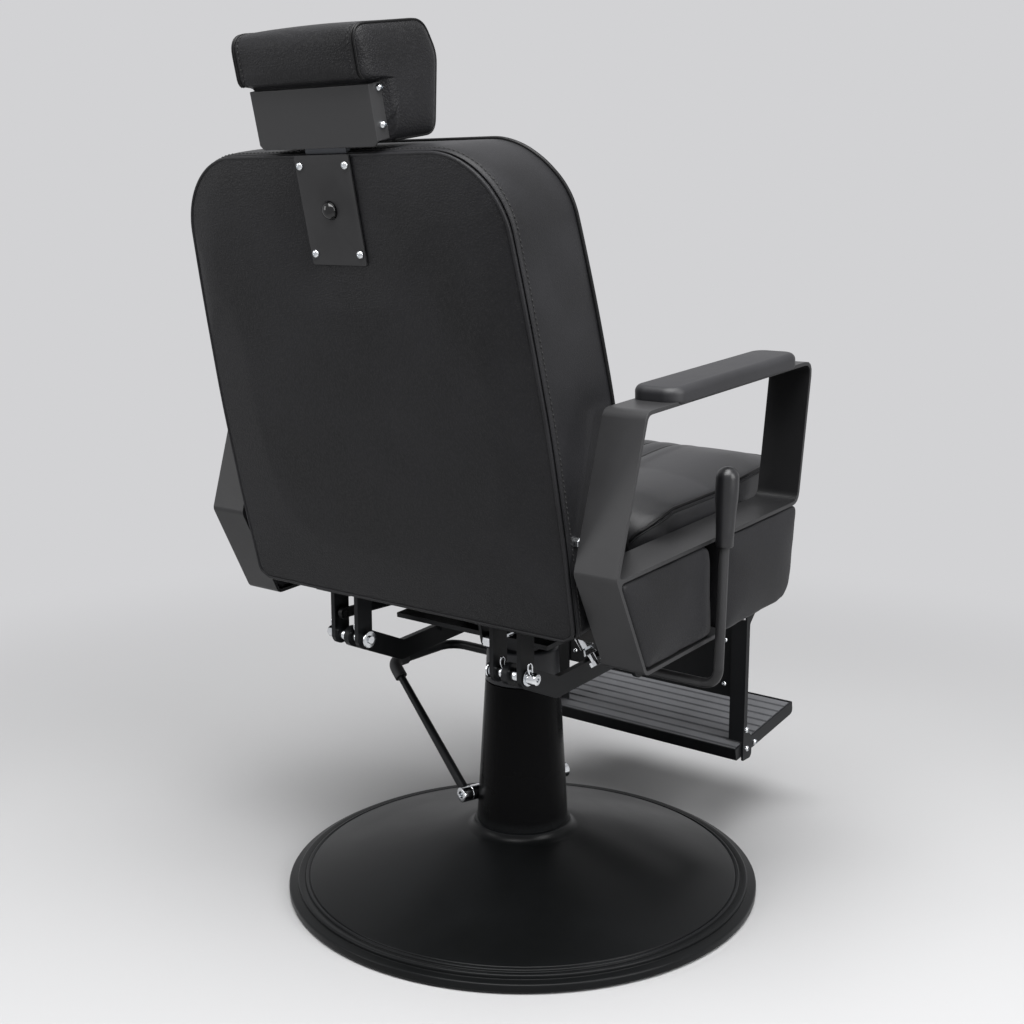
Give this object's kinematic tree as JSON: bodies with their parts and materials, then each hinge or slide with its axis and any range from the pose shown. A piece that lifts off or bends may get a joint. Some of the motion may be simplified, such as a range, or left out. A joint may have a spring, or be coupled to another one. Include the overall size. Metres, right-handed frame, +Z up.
{
  "type": "hydraulic barber chair",
  "caption": "Barber chair with round floor base, hydraulic pump column, reclining channelled back, adjustable headrest, flat-bar arm frames and a linked footrest.",
  "frame": {"origin": "centre of the round base on the floor", "axes": "+Z up, -Y towards the footrest (the way the sitter faces), +X towards the sitter's left"},
  "size_m": [0.6569, 0.8286, 1.0715],
  "materials": {
    "black_leatherette": "satin black upholstery leatherette with a fine pebble grain",
    "black_powder_coat": "satin black powder coat",
    "black_paint": "gloss black paint",
    "dark_steel": "dark oiled steel",
    "grey_collar": "dark grey turned collar",
    "chrome": "polished chrome plate",
    "rubber": "matt black rubber",
    "grey_tread": "mid grey ribbed rubber",
    "black_polyurethane": "satin moulded arm pad",
    "black_grip": "semi-gloss black grip",
    "gloss_button": "gloss black push button",
    "plywood": "birch plywood under the upholstery"
  },
  "bodies": {
    "base": {"base_plate": "dark_steel", "base_rim_ring": "black_powder_coat", "base_dome": "black_powder_coat", "column_cover": "black_powder_coat", "pump_cylinder": "dark_steel", "cylinder_gland": "rubber"},
    "ram": {"hydraulic_ram": "chrome"},
    "pump_lever": {"pump_shaft": "chrome", "pump_lever_arm": "black_powder_coat", "lever_elbow_sleeve": "rubber", "foot_bar": "black_powder_coat"},
    "seat": {"swivel_collar": "grey_collar", "swivel_block": "black_powder_coat", "seat_mount_plate": "black_powder_coat", "seat_board": "plywood", "seat_cushion": "black_leatherette", "seat_runner_left": "black_powder_coat", "seat_runner_right": "black_powder_coat", "arm_frame_left": "black_powder_coat", "arm_frame_right": "black_powder_coat", "side_pad_rear_left": "black_leatherette", "side_pad_rear_right": "black_leatherette", "side_pad_front_left": "black_leatherette", "side_pad_front_right": "black_leatherette", "arm_pad_left": "black_polyurethane", "arm_pad_right": "black_polyurethane", "frame_bolt_left": "chrome", "frame_bolt_right": "chrome", "side_rail_left": "black_powder_coat", "side_rail_right": "black_powder_coat", "footrest_pivot_left": "chrome", "footrest_pivot_right": "chrome", "lever_hanger": "black_powder_coat", "recline_stop_screw": "chrome"},
    "recline_lever": {"recline_lever_rod": "black_powder_coat", "recline_lever_grip": "black_grip"},
    "back": {"back_panel": "black_leatherette", "back_cushion": "black_leatherette", "hinge_bracket_left": "black_powder_coat", "hinge_bracket_right": "black_powder_coat", "hinge_pin_left": "chrome", "hinge_pin_right": "chrome", "gas_spring_bracket": "black_powder_coat", "headrest_plate": "black_powder_coat", "plate_screw_1": "chrome", "plate_screw_2": "chrome", "plate_screw_3": "chrome", "plate_screw_4": "chrome"},
    "headrest": {"headrest_tongue": "dark_steel", "headrest_bracket": "black_powder_coat", "headrest_cushion": "black_leatherette"},
    "release_button": {"release_button": "gloss_button"},
    "footrest": {"footrest_leg_left": "black_powder_coat", "footrest_leg_right": "black_powder_coat", "calf_plate": "black_powder_coat", "foot_tray": "black_powder_coat", "foot_tread": "grey_tread"},
    "link": {"footrest_link": "black_powder_coat"},
    "gas_cylinder": {"gas_spring_cylinder": "black_paint"},
    "gas_rod": {"gas_spring_rod": "chrome"}
  },
  "joints": [
    {"name": "lift", "type": "slide", "parent": "base", "child": "ram", "axis": [0, 0, 1], "range_m": [0, 0.14]},
    {"name": "swivel", "type": "hinge", "parent": "ram", "child": "seat", "pos_m": [0, 0, 0.3], "axis": [0, 0, 1], "continuous": true},
    {"name": "pump_lever", "type": "hinge", "parent": "base", "child": "pump_lever", "pos_m": [0.03614, -0.01174, 0.12], "axis": [0.309, 0.9511, 0], "range_deg": [0, 18], "stiffness_Nm_per_rad": 40, "springref_deg": -8.59},
    {"name": "recline_lever", "type": "hinge", "parent": "seat", "child": "recline_lever", "pos_m": [-0.327, 0.05864, 0.34979], "axis": [-1, 0, 0], "range_deg": [0, 20], "stiffness_Nm_per_rad": 8, "springref_deg": -8.59},
    {"name": "recline", "type": "hinge", "parent": "seat", "child": "back", "pos_m": [0, 0.18438, 0.35603], "axis": [-1, 0, 0], "range_deg": [0, 45]},
    {"name": "headrest_height", "type": "slide", "parent": "back", "child": "headrest", "axis": [0, 0.2198, 0.9755], "range_m": [0, 0.1]},
    {"name": "release_button", "type": "slide", "parent": "back", "child": "release_button", "axis": [0, -0.9755, 0.2198], "range_m": [0, 0.004], "stiffness_N_per_m": 1500, "springref_m": -0.002},
    {"name": "footrest", "type": "hinge", "parent": "seat", "child": "footrest", "pos_m": [0, -0.3045, 0.34611], "axis": [-1, 0, 0], "range_deg": [0, 45]},
    {"name": "footrest_link", "type": "hinge", "parent": "back", "child": "link", "pos_m": [0.139, 0.18634, 0.38396], "axis": [-1, 0, 0], "range_deg": [-45, 0]},
    {"name": "gas_spring_swing", "type": "hinge", "parent": "seat", "child": "gas_cylinder", "pos_m": [-0.084, -0.09547, 0.39665], "axis": [1, 0, 0], "range_deg": [0, 1.75]},
    {"name": "gas_spring_stroke", "type": "slide", "parent": "gas_cylinder", "child": "gas_rod", "axis": [0, 0.9988, -0.049], "range_m": [0, 0.026]}
  ],
  "couplings": [
    {"joint": "footrest", "follows": "recline", "ratio": 1},
    {"joint": "footrest_link", "follows": "recline", "ratio": -1},
    {"joint": "gas_spring_swing", "follows": "recline", "ratio": 0.0375},
    {"joint": "gas_spring_stroke", "follows": "recline", "m_per_rad": 0.0314}
  ]
}
